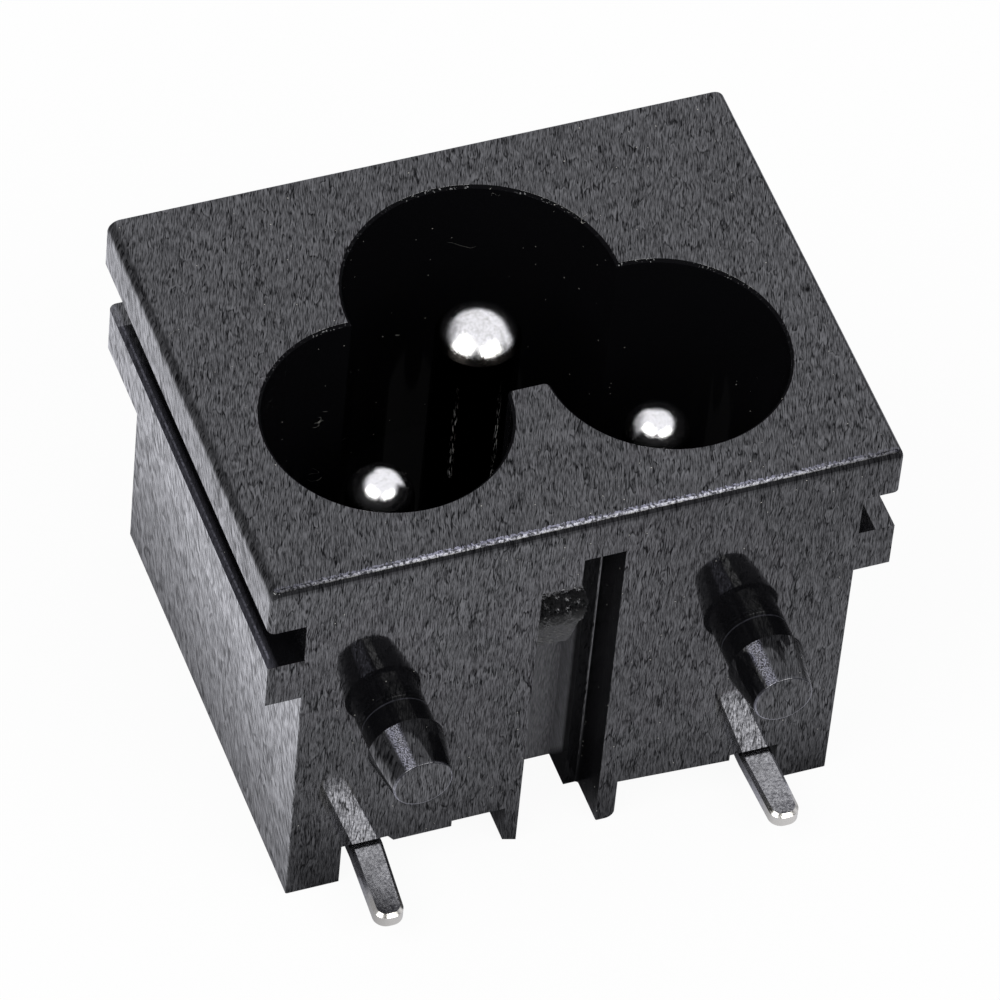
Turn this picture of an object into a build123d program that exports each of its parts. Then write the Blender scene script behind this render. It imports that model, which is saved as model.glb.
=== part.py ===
# Three-lobe appliance inlet for a printed board, lying on its rear with the mating face up.
# The origin is on the rear plane, midway between the line and neutral axes. +Z leaves the
# mating face, +X runs along the flange from line to neutral, and the board face looks to -Y.
import os

from build123d import *

os.makedirs("parts", exist_ok=True)

# Contacts and the mating recess
contact_spacing = 10.0  # line axis to neutral axis
earth_rise = 4.45  # earth axis above the line and neutral axes
contact_lobe_r = 4.24
earth_lobe_r = 4.79
web_drop = 0.06  # flat top of the web between the contact lobes, below their axes
web_corner_r = 0.25
recess_depth = 12.2
recess_edge = 0.1  # broken edge round the mouth
contact_pin_r = 1.2
earth_pin_r = 1.5
contact_tip_drop = 3.0  # pin tips below the mating face
earth_tip_drop = 1.4
contact_dome = 1.2  # height of the domed tips
earth_dome = 0.85

# Housing
body_depth = 16.16  # mating face to rear plane
body_width = 19.84
body_corner_r = 0.05
flange_width = 22.48
flange_height = 17.42
flange_t = 2.05
flange_edge_r = 0.45  # rolled top edge on three sides
flange_back_r = 0.1  # back edge and the corners it runs into
flange_corner_r = 0.25  # front corners
board_drop = 6.41  # board face below the contact axes
back_setback = 0.43  # body back in from the flange's back edge
slot_width = 1.75  # panel slot between flange and ledge
ledge_width = 22.42
ledge_t = 1.9
ledge_corner_r = 0.3

# Channel in the board face, cored out between the contact lobes
channel_line_x = 1.54  # wall on the line side, from the centre plane
channel_neutral_x = 1.37
channel_depth = 3.26
channel_rise = 0.14  # channel ceiling above the underside of the flange
step_width = 0.5  # step along the neutral side of the channel
step_depth = 1.78
step_corner_r = 0.1  # root of the step

# Board pegs
peg_spacing = 12.95
peg_height = 8.15  # peg axis above the rear plane
peg_neck_r = 1.22
peg_neck_length = 1.2
peg_head_r = 1.36
peg_end_r = 1.04
peg_length = 2.93
peg_root = 0.5  # how far a peg runs into the wall behind it
peg_edge_r = 0.06

# Rear pockets, pillars and barriers
pocket_depth = 1.86
rear_wall = 1.2
pillar_depth = 1.2
line_fin_t = 0.51  # fins on both sides of the channel
neutral_fin_t = 0.69
line_fin_slope = 0.18  # slanted tip of the line-side fin
fin_inner_r = 0.1  # rounded tip of the neutral-side fin
fin_outer_r = 0.32
earth_pocket_r = 2.6
earth_barrier_t = 0.6
lip_drop = 0.28  # board-side lips below the pocket ceiling
lip_t = 0.8
lip_inner = 4.0  # inner end of the line-side lip
lip_chamfer = 0.22

# Stamped terminals and riveted pin ends
tail_spacing = 14.27
tail_offset = 0.05  # both tails sit towards the neutral side
tail_width = 1.16
tail_tip_width = 1.06
tail_tip_r = 0.46
line_tail_reach = 3.21  # tail tip beyond the board face
neutral_tail_reach = 2.96
line_splay = 0.21  # tail tip bent outwards
neutral_splay = 0.075
line_pillar_gap = 0.335  # tail to the pillar on its outer side
neutral_pillar_gap = 0.205
lip_gap = 0.4  # tail to the lip on its inner side
seat_height = 0.16  # raised seat round each contact tenon, under the strip
seat_r = 1.7
strip_t = 0.65
strip_edge = 0.12  # broken edges of the stamping
pad_length = 3.8
pad_reach = 1.9  # pad edge past the pin axis, towards the middle
pad_corner_r = 0.4
contact_tenon_r = 0.8
earth_tenon_r = 1.1
rivet_overhang = 0.55  # rivet head past its tenon
rivet_height = 0.55
rivet_dome = 0.2
pin_fit = 0.02  # radial clearance of tenons in their holes

# Levels and places worked out from the sizes above
contact_x = contact_spacing / 2
flange_base = body_depth - flange_t
ledge_base = flange_base - slot_width - ledge_t
recess_floor = body_depth - recess_depth
board_y = -board_drop
body_height = flange_height - back_setback
line_fin_x = channel_line_x + line_fin_t
neutral_fin_x = channel_neutral_x + neutral_fin_t
pocket_x = body_width / 2 - rear_wall
line_tail_x = tail_spacing / 2 - tail_offset
neutral_tail_x = tail_spacing / 2 + tail_offset
line_pillar_width = body_width / 2 - line_tail_x - tail_width / 2 - line_pillar_gap
neutral_pillar_width = body_width / 2 - neutral_tail_x - tail_width / 2 - neutral_pillar_gap
line_lip_outer = line_tail_x - tail_width / 2 - lip_gap
neutral_lip_outer = neutral_tail_x - tail_width / 2 - lip_gap
strip_base = pocket_depth - seat_height - strip_t
board_plane = Plane.XZ.offset(board_drop)
contact_places = [(-contact_x, 0), (contact_x, 0)]

# Housing: one moulding
with BuildPart() as housing:
    with BuildSketch() as body_plan:
        with Locations((0, board_y)):
            Rectangle(body_width, body_height, align=(Align.CENTER, Align.MIN))
    extrude(amount=flange_base)
    fillet(housing.edges().filter_by(Axis.Z), body_corner_r)

    # Ledges that back the panel, rounded at the far end
    with BuildSketch(Plane.XY.offset(ledge_base)) as ledge_plan:
        with Locations((0, board_y)):
            Rectangle(ledge_width, body_height, align=(Align.CENTER, Align.MIN))
        fillet(ledge_plan.vertices().group_by(Axis.Y)[-1], ledge_corner_r)
    extrude(amount=ledge_t)

    with BuildSketch(Plane.XY.offset(flange_base)) as flange_plan:
        with Locations((0, board_y)):
            Rectangle(flange_width, flange_height, align=(Align.CENTER, Align.MIN))
    extrude(amount=flange_t)
    fillet(housing.edges().group_by(Axis.Z)[-1].sort_by(Axis.Y)[:-1], flange_edge_r)
    back_face = housing.faces().filter_by(Axis.Y).sort_by(Axis.Y)[-1]
    fillet(back_face.edges().group_by(Axis.Z)[-1], flange_back_r)
    corner_edges = housing.edges().filter_by(Axis.Z).filter_by_position(Axis.Z, flange_base, body_depth)
    fillet(corner_edges.group_by(Axis.Y)[0], flange_corner_r)

    # Three lobes, one round each pin, with a flat web between the lower two
    with BuildSketch(Plane.XY.offset(recess_floor)) as lobes:
        with Locations((0, earth_rise)):
            Circle(earth_lobe_r)
        with Locations((0, -web_drop)):
            Rectangle(2 * earth_lobe_r, 2 * earth_lobe_r, align=(Align.CENTER, Align.MAX), mode=Mode.SUBTRACT)
        with Locations(contact_places):
            Circle(contact_lobe_r)
        fillet(lobes.vertices().group_by(Axis.Y)[0], web_corner_r)
    extrude(amount=recess_depth, mode=Mode.SUBTRACT)
    mouth = housing.faces().sort_by(Axis.Z)[-1].inner_wires()[0]
    chamfer(mouth.edges(), recess_edge)

    # Stepped channel from the rear up into the flange
    with BuildSketch() as channel_plan:
        with BuildLine():
            Polyline(
                (-channel_line_x, board_y),
                (-channel_line_x, board_y + channel_depth),
                (channel_neutral_x - step_width, board_y + channel_depth),
                (channel_neutral_x - step_width, board_y + step_depth),
                (channel_neutral_x, board_y + step_depth),
                (channel_neutral_x, board_y),
                close=True,
            )
        make_face()
        step_root = channel_plan.vertices().sort_by_distance((channel_neutral_x, board_y + step_depth))[0]
        fillet(step_root, step_corner_r)
    extrude(amount=flange_base + channel_rise, mode=Mode.SUBTRACT)

    # Rear pockets for the terminals, open to the board side between pillar and fin
    with BuildSketch() as pocket_plan:
        with Locations((0, board_y)):
            Rectangle(2 * pocket_x, body_height - rear_wall, align=(Align.CENTER, Align.MIN))
        with Locations((-line_fin_x, board_y)):
            Rectangle(line_fin_x + neutral_fin_x, body_height, align=Align.MIN, mode=Mode.SUBTRACT)
        with Locations((0, earth_rise)):
            Circle(earth_pocket_r + earth_barrier_t, mode=Mode.SUBTRACT)
            Circle(earth_pocket_r)
        with Locations((-body_width / 2, board_y)):
            Rectangle(line_pillar_width, pillar_depth, align=Align.MIN, mode=Mode.SUBTRACT)
        with Locations((body_width / 2, board_y)):
            Rectangle(neutral_pillar_width, pillar_depth, align=(Align.MAX, Align.MIN), mode=Mode.SUBTRACT)
    extrude(amount=pocket_depth, mode=Mode.SUBTRACT)

    # Raised seats that the terminals are riveted against
    with BuildSketch(Plane.XY.offset(pocket_depth - seat_height)) as seats:
        with Locations(contact_places):
            Circle(seat_r)
    extrude(amount=seat_height)

    # Fin tips: slanted on the line side, rounded on the neutral side
    with BuildSketch(board_plane) as fin_slope:
        with BuildLine():
            Polyline((-line_fin_x, 0), (-line_fin_x, line_fin_slope), (-channel_line_x, 0), close=True)
        make_face()
    extrude(amount=-channel_depth, mode=Mode.SUBTRACT)
    for wall_x, tip_r in ((channel_neutral_x, fin_inner_r), (neutral_fin_x, fin_outer_r)):
        rear_edges = housing.edges().filter_by(Axis.Y).group_by(Axis.Z)[0]
        fillet(rear_edges.sort_by_distance((wall_x, board_y, 0))[0], tip_r)

    # Lips along the board side: square on the line side, tapered on the neutral side
    lip_z = pocket_depth - lip_drop
    with BuildSketch(board_plane) as lip_profile:
        with BuildLine():
            Polyline(
                (-line_lip_outer - lip_chamfer, pocket_depth),
                (-line_lip_outer, lip_z),
                (-lip_inner, lip_z),
                (-lip_inner, pocket_depth),
                close=True,
            )
        make_face()
        with BuildLine():
            Polyline(
                (neutral_fin_x, pocket_depth),
                (neutral_lip_outer, lip_z),
                (neutral_lip_outer, pocket_depth),
                close=True,
            )
        make_face()
    extrude(amount=-lip_t)

    # Holes for the riveted pin ends
    with BuildSketch() as tenon_holes:
        with Locations(contact_places):
            Circle(contact_tenon_r + pin_fit)
        with Locations((0, earth_rise)):
            Circle(earth_tenon_r + pin_fit)
    extrude(amount=recess_floor, mode=Mode.SUBTRACT)

    # Barbed pegs that snap into the board
    for side in (-1, 1):
        peg_x = side * peg_spacing / 2
        with BuildSketch(Plane.XY.offset(peg_height)) as peg_profile:
            with BuildLine():
                Polyline(
                    (peg_x, board_y + peg_root),
                    (peg_x + peg_neck_r, board_y + peg_root),
                    (peg_x + peg_neck_r, board_y - peg_neck_length),
                    (peg_x + peg_head_r, board_y - peg_neck_length),
                    (peg_x + peg_end_r, board_y - peg_length),
                    (peg_x, board_y - peg_length),
                    close=True,
                )
            make_face()
        revolve(axis=Axis((peg_x, 0, peg_height), (0, 1, 0)))
    fillet(housing.edges().group_by(Axis.Y)[0], peg_edge_r)
housing.part.label = "housing"
export_step(housing.part, "parts/housing.step")


def turned_pin(place, shaft_r, tip_drop, dome, tenon_r, clamped_t):
    # A domed pin standing on the recess floor, its tenon peened over at the rear
    tip_z = body_depth - tip_drop
    head_top = pocket_depth - clamped_t
    head_r = tenon_r + rivet_overhang
    with BuildPart() as pin:
        with BuildSketch(Plane((place[0], place[1], 0), x_dir=(1, 0, 0), z_dir=(0, -1, 0))) as profile:
            with BuildLine():
                Polyline(
                    (head_r, head_top - rivet_height + rivet_dome),
                    (head_r, head_top),
                    (tenon_r, head_top),
                    (tenon_r, recess_floor),
                    (shaft_r, recess_floor),
                    (shaft_r, tip_z - dome),
                )
                TangentArc((0, tip_z), (shaft_r, tip_z - dome), tangent=(1, 0))
                Line((0, tip_z), (0, head_top - rivet_height))
                TangentArc(
                    (0, head_top - rivet_height),
                    (head_r, head_top - rivet_height + rivet_dome),
                    tangent=(1, 0),
                )
            make_face()
        revolve(axis=Axis((place[0], place[1], 0), (0, 0, 1)))
    return pin.part


clamped = strip_t + seat_height
line_pin = turned_pin(
    contact_places[0], contact_pin_r, contact_tip_drop, contact_dome, contact_tenon_r, clamped
)
line_pin.label = "line_pin"
export_step(line_pin, "parts/line_pin.step")

neutral_pin = turned_pin(
    contact_places[1], contact_pin_r, contact_tip_drop, contact_dome, contact_tenon_r, clamped
)
neutral_pin.label = "neutral_pin"
export_step(neutral_pin, "parts/neutral_pin.step")

earth_pin = turned_pin((0, earth_rise), earth_pin_r, earth_tip_drop, earth_dome, earth_tenon_r, 0)
earth_pin.label = "earth_pin"
export_step(earth_pin, "parts/earth_pin.step")


def stamped_terminal(side, tail_x, reach, splay):
    # A strip riveted under its pin, with the solder tail along its outer edge
    inner_x = tail_x - tail_width / 2
    outer_x = tail_x + tail_width / 2
    pad_inner = contact_x - pad_reach
    tip_y = board_y - reach
    tip_x = tail_x + splay
    with BuildPart() as terminal:
        with BuildSketch(Plane.XY.offset(strip_base)) as strip_plan:
            with BuildLine():
                Polyline(
                    (side * inner_x, 0),
                    (side * inner_x, board_y),
                    (side * (tip_x - tail_tip_width / 2), tip_y),
                    (side * (tip_x + tail_tip_width / 2), tip_y),
                    (side * outer_x, board_y),
                    (side * outer_x, 0),
                    close=True,
                )
            make_face()
            fillet(strip_plan.vertices().group_by(Axis.Y)[0], tail_tip_r)
            with BuildSketch(mode=Mode.PRIVATE) as pad:
                with Locations((side * (pad_inner + outer_x) / 2, 0)):
                    Rectangle(outer_x - pad_inner, pad_length)
                fillet(pad.vertices(), pad_corner_r)
            add(pad.sketch)
        extrude(amount=strip_t)
        chamfer(terminal.faces().filter_by(Axis.Z).edges(), strip_edge)
        with BuildSketch(Plane.XY.offset(strip_base)) as rivet_hole:
            with Locations((side * contact_x, 0)):
                Circle(contact_tenon_r + pin_fit)
        extrude(amount=strip_t, mode=Mode.SUBTRACT)
    return terminal.part


line_terminal = stamped_terminal(-1, line_tail_x, line_tail_reach, line_splay)
line_terminal.label = "line_terminal"
export_step(line_terminal, "parts/line_terminal.step")

neutral_terminal = stamped_terminal(1, neutral_tail_x, neutral_tail_reach, neutral_splay)
neutral_terminal.label = "neutral_terminal"
export_step(neutral_terminal, "parts/neutral_terminal.step")
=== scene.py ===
import math
import random

import bmesh
import bpy
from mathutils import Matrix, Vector


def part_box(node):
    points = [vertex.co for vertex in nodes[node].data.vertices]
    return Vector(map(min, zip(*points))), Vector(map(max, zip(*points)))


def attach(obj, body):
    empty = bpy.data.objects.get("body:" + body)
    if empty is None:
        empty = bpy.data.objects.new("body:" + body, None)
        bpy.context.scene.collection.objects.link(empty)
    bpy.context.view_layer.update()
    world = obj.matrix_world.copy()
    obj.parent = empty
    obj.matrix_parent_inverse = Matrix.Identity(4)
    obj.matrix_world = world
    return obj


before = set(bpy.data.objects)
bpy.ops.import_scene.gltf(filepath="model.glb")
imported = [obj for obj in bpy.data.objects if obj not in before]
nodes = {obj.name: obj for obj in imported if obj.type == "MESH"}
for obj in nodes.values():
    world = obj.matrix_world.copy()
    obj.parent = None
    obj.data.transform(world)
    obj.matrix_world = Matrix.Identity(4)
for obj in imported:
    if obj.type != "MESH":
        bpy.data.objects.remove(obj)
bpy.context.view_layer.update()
scene = bpy.context.scene
scene.view_settings.view_transform = "Standard"
mm = 0.001
print("frame loaded:", ", ".join(sorted(nodes)))

# Places that several pieces share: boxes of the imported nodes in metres, axes and levels in mm
housingLow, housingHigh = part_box("housing")
earthLow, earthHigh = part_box("earth_pin")
lineLow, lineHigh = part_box("line_pin")
neutralLow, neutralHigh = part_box("neutral_pin")
lineAxis = (lineLow + lineHigh) / 2 / mm
neutralAxis = (neutralLow + neutralHigh) / 2 / mm
earthAxis = (earthLow + earthHigh) / 2 / mm
faceZ = housingHigh.z / mm  # mating face
boardY = -6.41  # board face, where the pegs start


# Node helpers

def addNode(tree, kind, inputs=None, **settings):
    made = tree.nodes.new(kind)
    for name, value in settings.items():
        setattr(made, name, value)
    for key, value in (inputs or {}).items():
        if isinstance(value, bpy.types.NodeSocket):
            tree.links.new(value, made.inputs[key])
        else:
            made.inputs[key].default_value = value
    return made


def math1(tree, operation, first, second=0.0, third=0.0, clamp=False):
    inputs = {0: first, 1: second, 2: third}
    return addNode(tree, "ShaderNodeMath", inputs, operation=operation, use_clamp=clamp).outputs[0]


def times(tree, first, *others):
    for other in others:
        first = math1(tree, "MULTIPLY", first, other)
    return first


def highest(tree, first, *others):
    for other in others:
        first = math1(tree, "MAXIMUM", first, other)
    return first


def minus(tree, whole, part):
    return math1(tree, "SUBTRACT", whole, part)


def distanceTo(tree, value, level):
    return math1(tree, "ABSOLUTE", minus(tree, value, level))


def mapRange(tree, value, low, high, toLow=0.0, toHigh=1.0, smooth=False):
    inputs = {"Value": value, "From Min": low, "From Max": high, "To Min": toLow, "To Max": toHigh}
    kind = "SMOOTHSTEP" if smooth else "LINEAR"
    return addNode(tree, "ShaderNodeMapRange", inputs, interpolation_type=kind).outputs[0]


def scaled(tree, mask, toLow, toHigh):
    return mapRange(tree, mask, 0.0, 1.0, toLow, toHigh)


def mixColor(tree, factor, first, second):
    inputs = {"Factor": factor, 6: first, 7: second}
    return addNode(tree, "ShaderNodeMix", inputs, data_type="RGBA").outputs[2]


def mixValue(tree, factor, first, second):
    inputs = {"Factor": factor, 2: first, 3: second}
    return addNode(tree, "ShaderNodeMix", inputs, data_type="FLOAT").outputs[0]


def noiseAt(tree, place, scale, detail, roughness=0.5, distortion=0.0):
    inputs = {"Vector": place, "Scale": scale, "Detail": detail}
    inputs.update({"Roughness": roughness, "Distortion": distortion})
    return addNode(tree, "ShaderNodeTexNoise", inputs).outputs["Fac"]


def splitXyz(tree, vector):
    return addNode(tree, "ShaderNodeSeparateXYZ", {0: vector}).outputs


def joinXyz(tree, x, y, z=0.0):
    return addNode(tree, "ShaderNodeCombineXYZ", {0: x, 1: y, 2: z}).outputs[0]


def vectorMath(tree, operation, inputs, output=0):
    return addNode(tree, "ShaderNodeVectorMath", inputs, operation=operation).outputs[output]


def positionMm(tree):
    place = addNode(tree, "ShaderNodeTexCoord").outputs["Object"]
    return vectorMath(tree, "SCALE", {0: place, "Scale": 1000.0})


def normalOf(tree):
    return addNode(tree, "ShaderNodeNewGeometry").outputs["Normal"]


def newGroup(name, inputs, outputs):
    tree = bpy.data.node_groups.new(name, "ShaderNodeTree")
    for label, default in inputs.items():
        socket = tree.interface.new_socket(label, in_out="INPUT", socket_type="NodeSocketFloat")
        socket.default_value = default
    for label in outputs:
        tree.interface.new_socket(label, in_out="OUTPUT", socket_type="NodeSocketFloat")
    return tree, tree.nodes.new("NodeGroupInput").outputs, tree.nodes.new("NodeGroupOutput").inputs


def useGroup(tree, group, **inputs):
    made = tree.nodes.new("ShaderNodeGroup")
    made.node_tree = group
    for name, value in inputs.items():
        if isinstance(value, bpy.types.NodeSocket):
            tree.links.new(value, made.inputs[name])
        else:
            made.inputs[name].default_value = value
    return made.outputs


def newMaterial(name, **constants):
    made = bpy.data.materials.new(name)
    made.use_nodes = True
    shader = made.node_tree.nodes["Principled BSDF"]
    for label, value in constants.items():
        shader.inputs[label].default_value = value
    return made, made.node_tree, shader


def finishShader(tree, shader, color, rough, height, depth):
    bump = addNode(tree, "ShaderNodeBump", {"Strength": 1.0, "Distance": depth, "Height": height})
    tree.links.new(color, shader.inputs["Base Color"])
    tree.links.new(rough, shader.inputs["Roughness"])
    tree.links.new(bump.outputs[0], shader.inputs["Normal"])


# Fine strokes of the etched mould, laid in their own direction on each side of the housing
grainSet = {
    "topSlant": 20.0,  # degrees
    "sideSlant": 32.0,
    "lineEnd": (0.32, 0.7),  # coarser there, across and along, because it shows at a flat angle
    "drift": 0.7,  # change with depth
    "fine": (1.0, 0.9, 2.0),  # shares of Across and Along, detail
    "fineRange": (0.34, 0.66),
    "folds": (0.12, 0.3, 1.0),
    "creaseRange": (0.44, 0.56),  # where folds show
    "creaseWidth": (0.014, 0.05),
    "darkCrease": (0.5, -0.34),  # level in the folds, effect
    "litFlank": (0.58, 0.28),
}


def makeMouldGrain():
    look = grainSet
    inputs = {"Across": 20.0, "Along": 5.0, "Wander": 0.35, "Bend": 1.0}
    tree, given, out = newGroup("mouldGrain", inputs, ("Stroke", "Patch"))
    spot = positionMm(tree)
    place = splitXyz(tree, spot)
    facing = splitXyz(tree, vectorMath(tree, "ABSOLUTE", {0: normalOf(tree)}))
    onSide = math1(tree, "GREATER_THAN", facing["X"], 0.7)
    onTop = math1(tree, "GREATER_THAN", facing["Z"], 0.7)

    def slanted(first, second, degrees):
        angle = math.radians(degrees)
        u = math1(tree, "MULTIPLY", first, math.cos(angle))
        u = math1(tree, "MULTIPLY_ADD", second, -math.sin(angle), u)
        v = math1(tree, "MULTIPLY", first, math.sin(angle))
        v = math1(tree, "MULTIPLY_ADD", second, math.cos(angle), v)
        return u, v

    bends = times(tree, minus(tree, noiseAt(tree, spot, 0.9, 1.0), 0.5), given["Bend"])
    topU, topV = slanted(place["X"], place["Y"], look["topSlant"])
    sideU, sideV = slanted(place["Y"], place["Z"], look["sideSlant"])
    across = mixValue(tree, onSide, mixValue(tree, onTop, place["X"], topU), sideU)
    along = mixValue(tree, onSide, mixValue(tree, onTop, place["Z"], topV), sideV)
    lineEnd = times(tree, onSide, math1(tree, "LESS_THAN", place["X"], 0.0))
    endAcross, endAlong = look["lineEnd"]
    across = times(tree, math1(tree, "ADD", across, bends), scaled(tree, lineEnd, 1.0, endAcross))
    along = times(tree, along, scaled(tree, lineEnd, 1.0, endAlong))
    drift = times(tree, place["Y"], look["drift"])

    def streaked(acrossShare, alongShare, detail):
        u = times(tree, across, given["Across"], acrossShare)
        v = times(tree, along, given["Along"], alongShare)
        return noiseAt(tree, joinXyz(tree, u, v, drift), 1.0, detail, 0.6, given["Wander"])

    stroke = mapRange(tree, streaked(*look["fine"]), *look["fineRange"])
    folds = streaked(*look["folds"])
    lineMask = mapRange(tree, noiseAt(tree, spot, 1.3, 1.0), *look["creaseRange"])

    def creaseAt(level):
        off = distanceTo(tree, folds, level)
        return times(tree, lineMask, mapRange(tree, off, *look["creaseWidth"], 1.0, 0.0))

    level, effect = look["darkCrease"]
    stroke = math1(tree, "MULTIPLY_ADD", creaseAt(level), effect, stroke)
    level, effect = look["litFlank"]
    stroke = math1(tree, "MULTIPLY_ADD", creaseAt(level), effect, stroke, clamp=True)
    tree.links.new(stroke, out["Stroke"])
    tree.links.new(noiseAt(tree, spot, 0.45, 3.0), out["Patch"])
    return tree


# Scattered specks and short curled fibres
dustSet = {
    "cells": 3.0,  # a millimetre
    "leastSize": 0.4,
    "curl": (0.9, 1.0, 0.5, 1.2),  # scale, detail, roughness, distortion
    "fibreWidth": 0.0016,
    "fibreGaps": (0.85, 0.6),  # with no fibres, with most
}


def makeDustSpecks():
    look = dustSet
    inputs = {"Density": 0.3, "Size": 0.035, "Fibres": 0.5}
    tree, given, out = newGroup("dustSpecks", inputs, ("Mask",))
    place = positionMm(tree)
    inputs = {"Vector": place, "Scale": look["cells"]}
    cells = addNode(tree, "ShaderNodeTexVoronoi", inputs, feature="F1").outputs
    chosen = addNode(tree, "ShaderNodeSeparateColor", {0: cells["Color"]}).outputs
    radius = times(tree, given["Size"], math1(tree, "ADD", chosen["Green"], look["leastSize"]))
    near = math1(tree, "LESS_THAN", cells["Distance"], radius)
    kept = math1(tree, "LESS_THAN", chosen["Red"], given["Density"])
    ridge = distanceTo(tree, noiseAt(tree, place, *look["curl"]), 0.5)
    line = math1(tree, "LESS_THAN", ridge, look["fibreWidth"])
    gaps = scaled(tree, given["Fibres"], *look["fibreGaps"])
    broken = math1(tree, "GREATER_THAN", noiseAt(tree, place, 0.8, 0.0), gaps)
    mask = highest(tree, times(tree, near, kept), times(tree, line, broken))
    tree.links.new(mask, out["Mask"])
    return tree


mouldGrain = makeMouldGrain()
dustSpecks = makeDustSpecks()
print("shared surface effects ready")

# Housing plastic: black, with a gloss that comes and goes along the strokes of the mould
plasticLook = {
    "black": (0.0032, 0.0032, 0.0038, 1),
    # worn front edge with a painted bluish highlight
    "wornSheen": (0.40, 0.40, 0.54, 1),
    "dust": (0.42, 0.41, 0.38, 1),
    "ior": 1.1,
    "glossIor": 2.2,
    "glossRoughness": 0.05,
    "grain": {"Across": 38.0, "Along": 3.0, "Wander": 0.2, "Bend": 0.16},
    "grainDepth": 0.004 * mm,
    "specks": {"Density": 0.3, "Size": 0.055},
    "fibres": (0.05, 0.2),  # outside and in the recess
    "gloss": (0.0, 1.0),  # between and on the strokes
    "recessGloss": 0.08,
    "mouthGloss": 0.4,  # a few sparks along the recess's broken edge
    "neckGloss": 0.2,  # share of the gloss left on the peg necks
    "headGloss": 0.7,
    "wallGloss": 0.12,  # and on the neutral-side wall of the channel
    "stepGloss": 0.5,
    "floorGloss": 0.15,
    "channelLitGrey": (0.21, 0.21, 0.225, 1),  # painted light on the channel floor, which is left matt
    # painted light on the step side
    "stepLitGrey": (0.36, 0.36, 0.385, 1),
    "sheenGrey": (0.26, 0.26, 0.32, 1),  # painted highlight colour: the streak on each peg head, the ledge top and the peg rims
    "sheenTurn": -27.0,  # degrees round the peg, from the mating side
    "sheenWidth": (6, 14),  # degrees, whole and fading out
    "outerRoughness": 0.13,
    "recessRoughness": 0.06,
    "mouthRoughness": 0.9,
    "wornRoughness": 0.5,
    "wearBand": (0.04, 0.13),  # mm below the mating face, along the front edge
    "wearDepth": 0.3,
    "rolledBand": (0.062, 0.16),
    "rolledDepth": 0.23,
    "lobeReach": 4.36,  # mm round the line and neutral axes
    "earthReach": 4.91,
    "recessFoot": 3.5,
    "mouthEdge": 0.11,  # the broken edge round the recess
    "pegX": 6.475,  # mm, and so are the places below
    "pegZ": 8.15,
    "pegSpanX": (-9.0, 9.0),
    "pegSpanZ": (4.0, 12.0),
    "pegEnd": -9.31,
    "neckEnd": -7.58,
    "shoulder": (-6.6, -6.54),
    "rimRadius": 0.99,
    "wallX": 1.37,  # the channel's neutral-side wall
    "stepY": -4.63,
    "channelX": -1.57,
    "channelY": -3.1,
    "channelZ": (0.0, 14.3),
    "ledgeTop": 12.36,
    "ledgeX": (-11.3, -10.7),
    "ledgeLineX": (-11.06, -10.99),
}


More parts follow.
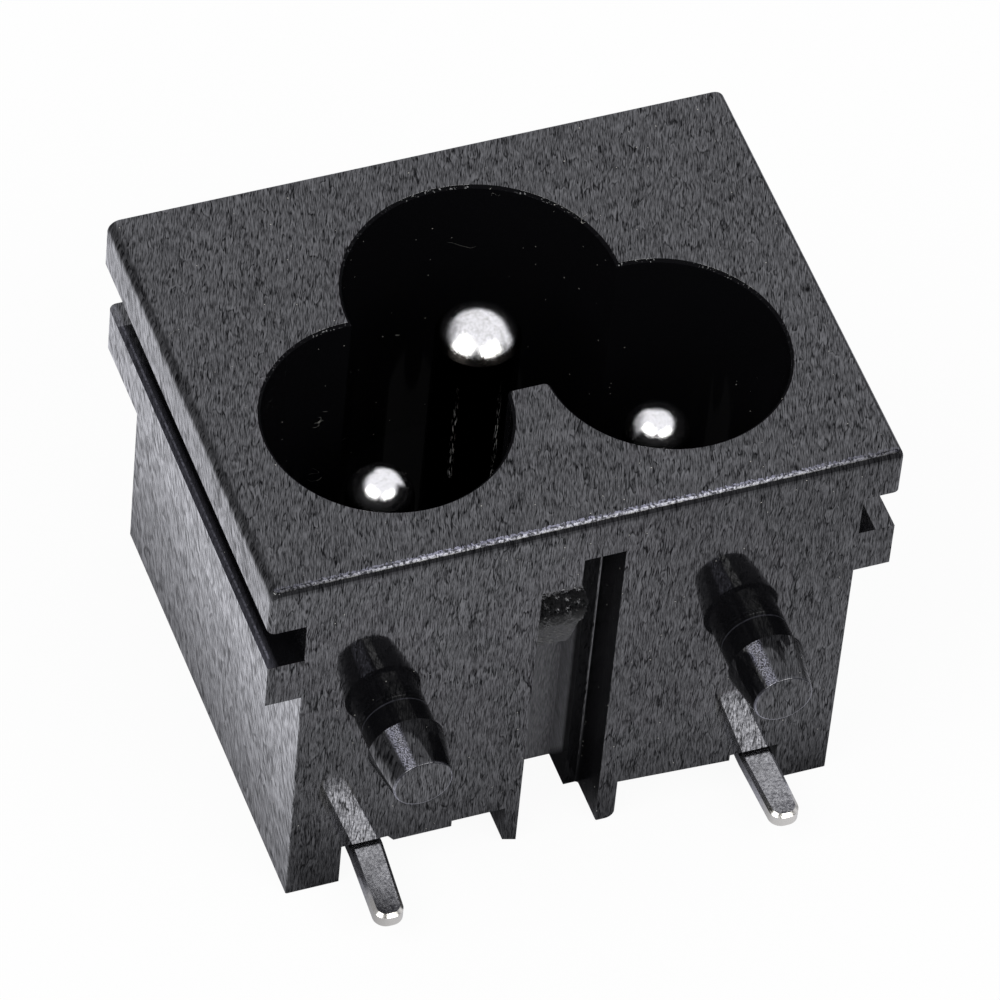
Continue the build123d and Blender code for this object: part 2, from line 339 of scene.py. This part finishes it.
def makePlastic():
    look = plasticLook
    made, tree, shader = newMaterial("housingPlastic", **{
        "IOR": look["ior"], "Coat IOR": look["glossIor"], "Coat Roughness": look["glossRoughness"],
    })
    spot = positionMm(tree)
    place = splitXyz(tree, spot)
    grain = useGroup(tree, mouldGrain, **look["grain"])
    stroke = grain["Stroke"]
    ragged = noiseAt(tree, spot, 7.0, 4.0, 0.75)
    beads = noiseAt(tree, spot, 12.0, 3.0)
    speckle = noiseAt(tree, spot, 22.0, 2.0, 0.7)

    def above(value, level):
        return math1(tree, "GREATER_THAN", value, level)

    def under(value, level):
        return math1(tree, "LESS_THAN", value, level)

    def between(value, low, high):
        return math1(tree, "COMPARE", value, (low + high) / 2, (high - low) / 2)

    def boxed(x, y, z):
        return times(tree, between(place["X"], *x), between(place["Y"], *y), between(place["Z"], *z))

    def outsideOf(mask):
        return minus(tree, 1.0, mask)

    # the recess and the broken edge of its mouth
    flat = joinXyz(tree, place["X"], place["Y"])

    def within(axis, reach):
        gap = vectorMath(tree, "DISTANCE", {0: flat, 1: (axis.x, axis.y, 0)}, "Value")
        return under(gap, reach)

    lobes = [within(axis, look["lobeReach"]) for axis in (lineAxis, neutralAxis)]
    lobes = highest(tree, *lobes, within(earthAxis, look["earthReach"]))
    depth = times(tree, under(place["Z"], faceZ - 0.004), above(place["Z"], look["recessFoot"]))
    recess = times(tree, lobes, depth)
    mouth = times(tree, recess, above(place["Z"], faceZ - look["mouthEdge"]))

    # worn edge between the mating face and the board face, with a painted bluish highlight, most in its
    # middle
    edgeY = minus(tree, place["Y"], boardY)
    edgeZ = minus(tree, faceZ, place["Z"])
    patchy = mapRange(tree, math1(tree, "MULTIPLY_ADD", ragged, 0.5, beads), 0.66, 0.84, 0.1, 1.0)
    fromMiddle = math1(tree, "ABSOLUTE", place["X"])
    patchy = times(tree, patchy, mapRange(tree, fromMiddle, 6.0, 10.6, 1.0, 0.2))
    wavy = math1(tree, "MULTIPLY_ADD", minus(tree, beads, 0.5), 0.12, edgeZ)
    wearFrom, wearTo = look["wearBand"]
    wearAndSheen = times(tree, above(wavy, wearFrom), under(wavy, wearTo), under(edgeY, look["wearDepth"]))
    wearAndSheen = times(tree, wearAndSheen, patchy)
    fibres = scaled(tree, recess, *look["fibres"])
    dust = useGroup(tree, dustSpecks, Fibres=fibres, **look["specks"])["Mask"]
    gloss = scaled(tree, stroke, *look["gloss"])
    gloss = mixValue(tree, recess, gloss, look["recessGloss"])
    gloss = mixValue(tree, mouth, gloss, mapRange(tree, beads, 0.6, 0.68, 0.0, look["mouthGloss"]))

    # necks and the channel's inner faces were moulded duller
    wallX, stepY, rise = look["wallX"], look["stepY"], look["channelZ"]
    pegX, pegZ = look["pegSpanX"], look["pegSpanZ"]
    neck = boxed(pegX, (look["neckEnd"], boardY - 0.02), pegZ)
    head = boxed(pegX, (look["pegEnd"], look["neckEnd"]), pegZ)
    wall = boxed((wallX - 0.03, wallX + 0.03), (boardY + 0.02, stepY - 0.1), rise)
    wall = times(tree, wall, mapRange(tree, place["Z"], 0.4, 2.4, 0.3, 1.0, smooth=True))
    step = boxed((wallX - 0.52, wallX - 0.1), (stepY - 0.03, stepY + 0.03), rise)
    channel = boxed((look["channelX"], wallX - 0.45), (stepY + 0.02, look["channelY"]), rise)
    # masks for the painted light on the channel floor and the step side; the step side's foot stays
    # black, in shade
    footed = math1(tree, "MULTIPLY_ADD", math1(tree, "ADD", place["Y"], 3.15), 1.3, place["Z"])
    lit = times(tree, mapRange(tree, footed, -0.1, 0.35), mapRange(tree, place["Y"], -4.3, -4.0))
    onStep = mapRange(tree, place["X"], wallX - 0.53, wallX - 0.505)
    stepSide = times(tree, channel, onStep, lit)
    floorPart = times(tree, channel, outsideOf(onStep))
    duller = {"neckGloss": neck, "headGloss": head, "wallGloss": wall, "stepGloss": step}
    duller["floorGloss"] = channel
    for share, mask in duller.items():
        gloss = times(tree, gloss, scaled(tree, mask, 1.0, look[share]))

    # a painted highlight streak along each peg head
    pegSide = times(tree, math1(tree, "SIGN", place["X"]), look["pegX"])
    fromPegX = minus(tree, place["X"], pegSide)
    fromPegZ = minus(tree, place["Z"], look["pegZ"])
    turn = math1(tree, "ARCTAN2", fromPegX, fromPegZ)
    offStreak = distanceTo(tree, turn, math.radians(look["sheenTurn"]))
    whole, gone = (math.radians(a) for a in look["sheenWidth"])
    streak = mapRange(tree, offStreak, whole, gone, 1.0, 0.0, smooth=True)
    streak = times(tree, streak, head, mapRange(tree, speckle, 0.44, 0.60))

    # and a painted reflection along the top edge of the line-side ledge, with a painted highlight line
    ledge = look["ledgeTop"]
    paintedSheen = boxed(look["ledgeX"], (-6.4, 10.5), (ledge - 0.1, ledge + 0.02))
    paintedSheen = times(tree, paintedSheen, mapRange(tree, place["X"], -10.8, -11.1, 0.0, 0.3))
    paintedSheen = times(tree, paintedSheen, scaled(tree, stroke, 0.25, 1.0))
    lineMask = boxed(look["ledgeLineX"], (-6.0, 10.5), (ledge - 0.02, ledge + 0.02))
    lineMask = times(tree, lineMask, mapRange(tree, ragged, 0.35, 0.6, 0.0, 0.6))

    # thin painted highlight rims round the pegs' ends and shoulders, brightest on the lower side
    squares = [math1(tree, "POWER", side, 2.0) for side in (fromPegX, fromPegZ)]
    aside = math1(tree, "SQRT", math1(tree, "ADD", *squares))
    rim = boxed(pegX, (look["pegEnd"] - 0.1, look["pegEnd"] + 0.06), pegZ)
    rim = times(tree, rim, above(aside, look["rimRadius"]))
    rim = times(tree, rim, mapRange(tree, fromPegZ, -0.2, 0.6, 0.7, 0.08))
    rim = highest(tree, rim, times(tree, boxed(pegX, look["shoulder"], pegZ), 0.1))
    rim = times(tree, rim, mapRange(tree, ragged, 0.35, 0.6, 0.3, 1.0))
    paintedSheen = highest(tree, paintedSheen, lineMask, rim)

    greyed = scaled(tree, stroke, 0.45, 1.0)
    # worn edge, partly painted highlight
    color = mixColor(tree, times(tree, wearAndSheen, 0.45), look["black"], look["wornSheen"])
    # painted light: grey on the channel floor and the step side
    color = mixColor(tree, times(tree, floorPart, greyed), color, look["channelLitGrey"])
    color = mixColor(tree, times(tree, stepSide, greyed), color, look["stepLitGrey"])
    # painted highlights: ledge top, ledge line and peg rims
    color = mixColor(tree, paintedSheen, color, look["sheenGrey"])
    # painted highlight streak on each peg head
    color = mixColor(tree, streak, color, look["sheenGrey"])
    color = mixColor(tree, times(tree, dust, 0.85), color, look["dust"])

    # the rolled front edge shines in patches
    rolled = times(tree, between(edgeZ, *look["rolledBand"]), under(edgeY, look["rolledDepth"]))
    gloss = mixValue(tree, rolled, gloss, times(tree, patchy, greyed))

    # the sharp corner between step and wall mirrors the sky as one line
    corner = boxed((wallX - 0.09, wallX - 0.012), (stepY - 0.09, stepY - 0.012), rise)
    gloss = mixValue(tree, corner, gloss, mapRange(tree, place["Z"], 0.5, 4.0, 0.2, 0.9))
    gloss = times(tree, gloss, outsideOf(dust))
    tree.links.new(gloss, shader.inputs["Coat Weight"])

    smoothest, roughest = look["outerRoughness"] - 0.03, look["outerRoughness"] + 0.04
    rough = mapRange(tree, grain["Patch"], 0.3, 0.7, smoothest, roughest)
    rough = mixValue(tree, recess, rough, look["recessRoughness"])
    rough = mixValue(tree, mouth, rough, look["mouthRoughness"])
    rough = mixValue(tree, highest(tree, wearAndSheen, dust), rough, look["wornRoughness"])
    height = times(tree, stroke, times(tree, outsideOf(recess), outsideOf(corner)))
    finishShader(tree, shader, color, rough, height, look["grainDepth"])
    return made


# Plated pins
nickelLook = {
    "bright": (0.92, 0.91, 0.89, 1),
    "dull": (0.66, 0.65, 0.62, 1),
    "clean": (0.88, 0.87, 0.84, 1),
    "scratched": (0.2, 0.19, 0.17, 1),
    # painted dark reflection round the lower edge of each dome
    "rim": (0.03, 0.027, 0.024, 1),
    "roughness": 0.12,
    "pitDepth": 0.006 * mm,
    "contactDome": 1.2,  # mm
    "earthDome": 0.85,
    "shaftStreak": 0.8,  # roughness of the painted highlight streaks along a shaft
    "streakFrom": 8.0,  # mm
    "streakTo": 13.0,
    "streakWidth": (2, 5),  # degrees, whole and fading out
    "earthStreaks": (-44, 15),  # degrees round the pin, from the board side
}


def makeNickel(name, axis, tip, domed, dull, streakTurns):
    look = nickelLook
    made, tree, shader = newMaterial(name, Metallic=1.0)
    place = positionMm(tree)
    at = splitXyz(tree, place)
    cloud = noiseAt(tree, place, 5.0, 5.0, 0.75)
    pits = noiseAt(tree, place, 24.0, 3.0)
    scratch = distanceTo(tree, noiseAt(tree, place, 9.0, 2.0, 0.5, 2.5), 0.5)
    color = mixColor(tree, mapRange(tree, cloud, 0.42, 0.68), look["bright"], look[dull])
    color = mixColor(tree, mapRange(tree, scratch, 0.008, 0.02, 0.5, 0.0), color, look["scratched"])
    # the dome darkens towards its edge: painted dark reflection, speckled by the pits
    rim = mapRange(tree, minus(tree, tip, at["Z"]), domed * 0.5, domed * 0.95)
    speckled = math1(tree, "MULTIPLY_ADD", rim, 0.62, pits)
    color = mixColor(tree, mapRange(tree, speckled, 0.73, 0.8), color, look["rim"])
    rough = mapRange(tree, cloud, 0.3, 0.7, look["roughness"] - 0.05, look["roughness"] + 0.08)

    # painted highlight streaks along the shaft: bright, rough bands where the lamps' highlights fall
    turn = math1(tree, "ARCTAN2", minus(tree, at["X"], axis.x), minus(tree, axis.y, at["Y"]))
    threads = joinXyz(tree, times(tree, turn, 34.0), times(tree, at["Z"], 2.6))
    threads = mapRange(tree, noiseAt(tree, threads, 1.0, 3.0), 0.52, 0.62)
    middle = (look["streakFrom"] + look["streakTo"]) / 2
    along = math1(tree, "COMPARE", at["Z"], middle, look["streakTo"] - middle)
    along = times(tree, along, mapRange(tree, at["Z"], look["streakTo"], middle, 0.15, 0.9))
    threads = times(tree, along, threads)
    whole, gone = (math.radians(a) for a in look["streakWidth"])
    for angle in streakTurns:
        off = distanceTo(tree, turn, math.radians(angle))
        shaftStreak = times(tree, threads, mapRange(tree, off, whole, gone, 1.0, 0.0))
        color = mixColor(tree, shaftStreak, color, look["bright"])
        rough = mixValue(tree, shaftStreak, rough, look["shaftStreak"])
    finishShader(tree, shader, color, rough, pits, look["pitDepth"])
    return made


# Tinned strips of the terminals
stripLook = {
    "bright": (0.86, 0.86, 0.90, 1),
    "dull": (0.36, 0.36, 0.39, 1),
    # top faces darker towards the tip
    "tipDark": (0.07, 0.07, 0.08, 1),
    # painted highlight on the side faces towards the tip
    "rim": (0.74, 0.72, 0.66, 1),
    "rimRange": (-8.0, -8.9),  # mm, along the tails
    "tipDarkRange": (-7.8, -9.4),
    "roughness": 0.2,
    "drawLines": (22.0, 1.2, 22.0),  # a millimetre, along each axis
    "drawDepth": 0.002 * mm,
}


def makeStrip():
    look = stripLook
    made, tree, shader = newMaterial("tinStrip", Metallic=1.0)
    place = positionMm(tree)
    reach = splitXyz(tree, place)["Y"]
    lines = noiseAt(tree, vectorMath(tree, "MULTIPLY", {0: place, 1: look["drawLines"]}), 1.0, 3.0)
    cloud = noiseAt(tree, place, 12.0, 3.0)
    color = mixColor(tree, mapRange(tree, cloud, 0.42, 0.72), look["bright"], look["dull"])
    # flat top faces darker towards the tip
    dimmed = math1(tree, "MULTIPLY_ADD", cloud, 1.2, mapRange(tree, reach, *look["tipDarkRange"]))
    facing = splitXyz(tree, normalOf(tree))["Z"]
    flat = mapRange(tree, math1(tree, "ABSOLUTE", facing), 0.8, 0.95)
    dimmed = times(tree, flat, mapRange(tree, dimmed, 0.95, 1.7, 0.0, 0.75))
    color = mixColor(tree, dimmed, color, look["tipDark"])
    # painted highlight on the side faces towards the tip
    rimHighlight = times(tree, minus(tree, 1.0, flat), mapRange(tree, reach, *look["rimRange"]))
    color = mixColor(tree, rimHighlight, color, look["rim"])
    rough = mapRange(tree, cloud, 0.3, 0.7, look["roughness"] - 0.05, look["roughness"] + 0.12)
    finishShader(tree, shader, color, rough, lines, look["drawDepth"])
    return made


def dress(names, material):
    for name in names:
        piece = nodes[name]
        piece.data.materials.clear()
        piece.data.materials.append(material)


plastic = makePlastic()
contactDome, earthDome = nickelLook["contactDome"], nickelLook["earthDome"]
nickel = makeNickel("nickelPin", lineAxis, lineHigh.z / mm, contactDome, "clean", ())
earthStreaks = nickelLook["earthStreaks"]
earthNickel = makeNickel("nickelEarthPin", earthAxis, earthHigh.z / mm, earthDome, "dull", earthStreaks)
dress(["housing"], plastic)
dress(["line_pin", "neutral_pin"], nickel)
dress(["earth_pin"], earthNickel)
dress(["line_terminal", "neutral_terminal"], makeStrip())
print("materials on every node")

# Gate left in the channel: flush with the board face at the top, broken off rough below
gateSet = {
    "left": -1.56,  # mm, down to ridges
    "right": -0.12,
    "top": 14.27,
    "flushTo": 13.0,
    "foot": 9.55,
    "root": -3.1,
    "skin": 0.01,  # behind the board face
    "dip": 0.24,  # the break's depth at its top
    "sunk": 0.35,  # and how much deeper its foot is
    "bulge": (0.45, 0.1),  # towards the neutral side, and less at the foot
    "tear": 0.05,
    "ridges": 0.2,
    "tearWaves": (7, 2.5, 8.0),  # count, slowest, fastest
    "ridgeWaves": (5, 20.0, 36.0),
    "tornTo": 0.5,  # share of the break that is crumpled, smooth and dull below
    "dullAt": (11.5, 11.0),  # mm
    "across": 84,  # steps of the mesh
    "down": 170,
    "seed": 11,
    "dark": (0.002, 0.002, 0.002, 1),
    "pale": (0.03, 0.03, 0.032, 1),
    "ior": 1.8,
    "tornRoughness": (0.08, 0.25),
    "dullRoughness": 0.6,
    "tearDepth": 0.014 * mm,
}


def makeTorn():
    look = gateSet
    made, tree, shader = newMaterial("tornPlastic", IOR=look["ior"])
    place = positionMm(tree)
    tear = noiseAt(tree, place, 9.0, 5.0, 0.7)
    color = mixColor(tree, tear, look["dark"], look["pale"])
    dull = mapRange(tree, splitXyz(tree, place)["Z"], *look["dullAt"])
    rough = mapRange(tree, tear, 0.3, 0.7, *look["tornRoughness"])
    rough = mixValue(tree, dull, rough, look["dullRoughness"])
    finishShader(tree, shader, color, rough, tear, look["tearDepth"])
    return made


def makeGate():
    look = gateSet
    chance = random.Random(look["seed"])

    def wavesOf(count, slow, fast):
        made = []
        for i in range(count):
            pitch, turn = chance.uniform(slow, fast), chance.uniform(0, math.pi)
            made.append((pitch * math.cos(turn), pitch * math.sin(turn), chance.uniform(0, 6.3)))
        return made

    def swell(waves, x, z):
        return sum(math.sin(u * x + v * z + shift) for u, v, shift in waves) / 2

    tears, ridges = wavesOf(*look["tearWaves"]), wavesOf(*look["ridgeWaves"])
    mesh = bpy.data.meshes.new("brokenGate")
    shape = bmesh.new()
    across, down = look["across"], look["down"]
    skin = boardY + look["skin"]
    wide, narrow = look["bulge"]
    front, back = [], []
    for j in range(down + 1):
        z = look["top"] + (look["foot"] - look["top"]) * j / down
        slope = max(0.0, (look["flushTo"] - z) / (look["flushTo"] - look["foot"]))
        rough = min(1.0, slope * 8)
        crumpled = max(0.1, min(1, 1 - 3.6 * (slope - look["tornTo"])))
        bulge = wide * math.sin(math.pi * slope) - narrow * slope
        frontRow, backRow = [], []
        for i in range(across + 1):
            x = look["left"] + (look["right"] + bulge - look["left"]) * i / across
            folds = 1.2 - 1.6 * abs(swell(ridges, x, z))
            lift = look["tear"] * swell(tears, x, z) + look["ridges"] * folds * crumpled
            y = skin + rough * (look["dip"] + slope * look["sunk"] - lift)
            y = min(look["root"], max(skin, y))
            frontRow.append(shape.verts.new((x * mm, y * mm, z * mm)))
            backRow.append(shape.verts.new((x * mm, (look["root"] + 0.05) * mm, z * mm)))
        front.append(frontRow)
        back.append(backRow)
    for j in range(down):
        for i in range(across):
            shape.faces.new((front[j][i], front[j + 1][i], front[j + 1][i + 1], front[j][i + 1]))
            shape.faces.new((back[j][i], back[j][i + 1], back[j + 1][i + 1], back[j + 1][i]))
        shape.faces.new((front[j][0], back[j][0], back[j + 1][0], front[j + 1][0]))
        shape.faces.new((front[j][across], front[j + 1][across], back[j + 1][across], back[j][across]))
    for i in range(across):
        shape.faces.new((front[0][i], front[0][i + 1], back[0][i + 1], back[0][i]))
        shape.faces.new((front[down][i], back[down][i], back[down][i + 1], front[down][i + 1]))
    bmesh.ops.recalc_face_normals(shape, faces=shape.faces)
    shape.to_mesh(mesh)
    shape.free()
    gate = bpy.data.objects.new("brokenGate", mesh)
    scene.collection.objects.link(gate)
    mesh.materials.append(plastic)
    mesh.materials.append(makeTorn())
    for face in mesh.polygons:
        face.material_index = int(face.center.z / mm < look["flushTo"])
    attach(gate, "root")


makeGate()
print("gate mark in the channel")

# Camera at the photographed angle
cameraSet = {
    "place": (-86.7625 * mm, -191.9518 * mm, 249.7149 * mm),
    "turn": (41.1744, -3.8810, -19.7597),  # degrees
    "lens": 337.0245,
    "sensor": 36,
    "nearest": 0.01,  # m
}
cameraData = bpy.data.cameras.new("camera")
cameraData.lens = cameraSet["lens"]
cameraData.sensor_width = cameraSet["sensor"]
cameraData.clip_start = cameraSet["nearest"]
camera = bpy.data.objects.new("camera", cameraData)
camera.location = cameraSet["place"]
camera.rotation_euler = [math.radians(a) for a in cameraSet["turn"]]
scene.collection.objects.link(camera)
scene.camera = camera
print("camera placed")

# Studio: white room, pale floor, soft lamps, dark screens along the horizon, a dark card by the camera
studio = {
    "roomLight": 0.55,
    "floorReach": 3.0,  # m
    "floorColor": (0.8, 0.8, 0.8, 1),
    "floorRoughness": 0.9,
    "floorWhite": 0.94,
    "floorMirror": 0.93,  # how bright the floor looks in the gloss, in front of the part
    "floorMirrorSide": 1.6,  # and beside its line end
    "sideShade": (-2.0, 3.6, 0.03),  # contact shade: from, to (mm outside the walls), darkest
    "frontShade": (-1.5, 4.0, 0.05),
    "sideFall": (4.0, 6.5, 0.7),  # the floor further off: from, to (mm), share of the brightness
    "frontRise": (5.0, 11.0, 0.74),
    "mirrorTint": (0.97, 0.975, 1.05, 1),  # the room as the gloss sees it
    "sheetEdge": (14.0, 34.0),  # the white sheet ends: from, to (mm)
    "beyondSheet": (0.35, 0.7),  # brightness beyond it, at the side and in front
    "lampPlaces": {"frontRight": (22, 44, 0.6), "frontLeft": (-72, 47, 0.6)},
    "lampSizes": {"frontRight": (0.46, 0.27), "frontLeft": (0.42, 0.42)},
    "lampWatts": {"frontRight": 1.4, "frontLeft": 1.75},
    "screenHeight": 1.0,
    "screenFront": (0.50, 0.66, 0.2),  # dark up to here (m), fading out up to there, darkest
    "screenLeft": (0.4, 0.95, 0.36),
    "screenBack": (0.02, 0.2, 0.5),
    "screenRadius": 0.75,
    "screenSteps": 48,
    "cardPlace": (-20, 40, 0.6),
    "cardSize": 0.22,
    "cardColor": (0.01, 0.01, 0.01, 1),
}


def skyPoint(azimuth, elevation, distance):
    a, e = math.radians(azimuth), math.radians(elevation)
    return Vector((math.sin(a) * math.cos(e), -math.cos(a) * math.cos(e), math.sin(e))) * distance


def faceMiddle(thing):
    thing.rotation_euler = thing.location.to_track_quat("Z", "Y").to_euler()


def squareMesh(name, half):
    mesh = bpy.data.meshes.new(name)
    corners = [(-half, -half, 0), (half, -half, 0), (half, half, 0), (-half, half, 0)]
    mesh.from_pydata(corners, [], [(0, 1, 2, 3)])
    return mesh


def glow(tree, color, strength):
    return addNode(tree, "ShaderNodeEmission", {"Color": color, "Strength": strength}).outputs[0]


def mixShader(tree, factor, first, second):
    return addNode(tree, "ShaderNodeMixShader", {0: factor, 1: first, 2: second}).outputs[0]


def makeWorld():
    world = bpy.data.worlds.new("whiteRoom")
    world.use_nodes = True
    scene.world = world
    tree = world.node_tree
    rays = addNode(tree, "ShaderNodeLightPath").outputs
    seen = highest(tree, rays["Is Camera Ray"], rays["Is Glossy Ray"], rays["Is Transmission Ray"])
    background = tree.nodes["Background"]
    color = mixColor(tree, rays["Is Glossy Ray"], (1, 1, 1, 1), studio["mirrorTint"])
    tree.links.new(color, background.inputs["Color"])
    tree.links.new(mixValue(tree, seen, studio["roomLight"], 1.0), background.inputs["Strength"])


def floorInGloss(tree):
    # what the gloss sees: contact shade round the walls, lighter towards the line end
    place = splitXyz(tree, positionMm(tree))
    backY = housingHigh.y / mm
    halfX, halfY = 9.9, (backY - boardY) / 2 - 0.4
    outX = minus(tree, math1(tree, "ABSOLUTE", place["X"]), halfX)
    outY = minus(tree, distanceTo(tree, place["Y"], (boardY + backY) / 2), halfY)
    inFront = minus(tree, boardY, place["Y"])

    def shaded(gap, shade, level):
        low, high, darkest = studio[shade]
        return mapRange(tree, gap, low, high, darkest * level, level, smooth=True)

    side = shaded(outX, "sideShade", studio["floorMirrorSide"])
    low, high, share = studio["sideFall"]
    side = times(tree, side, mapRange(tree, outX, low, high, 1.0, share))
    side = times(tree, side, mapRange(tree, place["X"], -1.0, 1.0, 1.0, 0.4))  # less at the neutral end
    front = shaded(outY, "frontShade", studio["floorMirror"])
    low, high, share = studio["frontRise"]
    neutralShare = mapRange(tree, place["X"], 5.0, 9.0, 1.0, 0.68)
    front = times(tree, front, mapRange(tree, outY, low, high, share, neutralShare))
    front = times(tree, front, mapRange(tree, place["X"], -9.0, -6.5, 0.78, 1.0))
    front = times(tree, front, mapRange(tree, place["X"], 5.0, 9.0, 1.0, 1.15))
    strength = highest(tree, side, front)
    for gap, beyond in zip((outX, inFront), studio["beyondSheet"]):
        edge = mapRange(tree, gap, *studio["sheetEdge"], 1.0, beyond, smooth=True)
        strength = times(tree, strength, edge)
    return glow(tree, studio["mirrorTint"], strength)


def makeFloor():
    floor = bpy.data.objects.new("floor", squareMesh("floor", studio["floorReach"]))
    floor.location.z = housingLow.z - 0.02 * mm
    scene.collection.objects.link(floor)
    made, tree, shader = newMaterial("paleFloor", **{
        "Base Color": studio["floorColor"], "Roughness": studio["floorRoughness"],
    })
    rays = addNode(tree, "ShaderNodeLightPath").outputs
    seen = highest(tree, rays["Is Camera Ray"], rays["Is Transmission Ray"])
    whitened = times(tree, seen, studio["floorWhite"])
    mixed = mixShader(tree, whitened, shader.outputs[0], glow(tree, (1, 1, 1, 1), 1.0))
    mixed = mixShader(tree, rays["Is Glossy Ray"], mixed, floorInGloss(tree))
    clear = addNode(tree, "ShaderNodeBsdfTransparent").outputs[0]
    fromBelow = addNode(tree, "ShaderNodeNewGeometry").outputs["Backfacing"]
    mixed = mixShader(tree, fromBelow, mixed, clear)
    tree.links.new(mixed, tree.nodes["Material Output"].inputs["Surface"])
    floor.data.materials.append(made)


def makeLamps():
    for name, where in studio["lampPlaces"].items():
        data = bpy.data.lights.new(name, "AREA")
        data.shape = "RECTANGLE"
        data.size, data.size_y = studio["lampSizes"][name]
        data.energy = studio["lampWatts"][name]
        lamp = bpy.data.objects.new(name, data)
        lamp.location = skyPoint(*where)
        faceMiddle(lamp)
        scene.collection.objects.link(lamp)


def mirrorOnly(name, mesh, material):
    made = bpy.data.objects.new(name, mesh)
    scene.collection.objects.link(made)
    mesh.materials.append(material)
    made.visible_camera = False
    made.visible_diffuse = False
    made.visible_shadow = False
    return made


def makeScreens():
    # dark screens and a dark card that only reflections see
    faded, tree, shader = newMaterial("fadedScreen")
    place = splitXyz(tree, addNode(tree, "ShaderNodeTexCoord").outputs["Object"])
    inFront = mapRange(tree, place["Y"], -0.1, -0.45)
    atLeft = mapRange(tree, place["X"], -0.1, -0.42)
    names = ("screenBack", "screenLeft", "screenFront")
    back, left, front = (mapRange(tree, place["Z"], *studio[name], 1.0, smooth=True) for name in names)
    strength = mixValue(tree, inFront, mixValue(tree, atLeft, back, left), front)
    shown = glow(tree, studio["mirrorTint"], strength)
    tree.links.new(shown, tree.nodes["Material Output"].inputs["Surface"])
    mesh = bpy.data.meshes.new("screens")
    shape = bmesh.new()
    steps, radius = studio["screenSteps"], studio["screenRadius"]
    turns = [2 * math.pi * i / steps for i in range(steps)]
    lower, upper = [
        [shape.verts.new((math.sin(a) * radius, -math.cos(a) * radius, level)) for a in turns]
        for level in (0.0, studio["screenHeight"])
    ]
    for i in range(steps):
        j = (i + 1) % steps
        shape.faces.new((lower[i], lower[j], upper[j], upper[i]))
    shape.to_mesh(mesh)
    shape.free()
    mirrorOnly("screens", mesh, faded)
    dark = newMaterial("darkCard", **{"Base Color": studio["cardColor"], "Roughness": 1.0})[0]
    card = mirrorOnly("card", squareMesh("card", studio["cardSize"] / 2), dark)
    card.location = skyPoint(*studio["cardPlace"])
    faceMiddle(card)


makeWorld()
makeFloor()
makeLamps()
makeScreens()
print("studio ready")
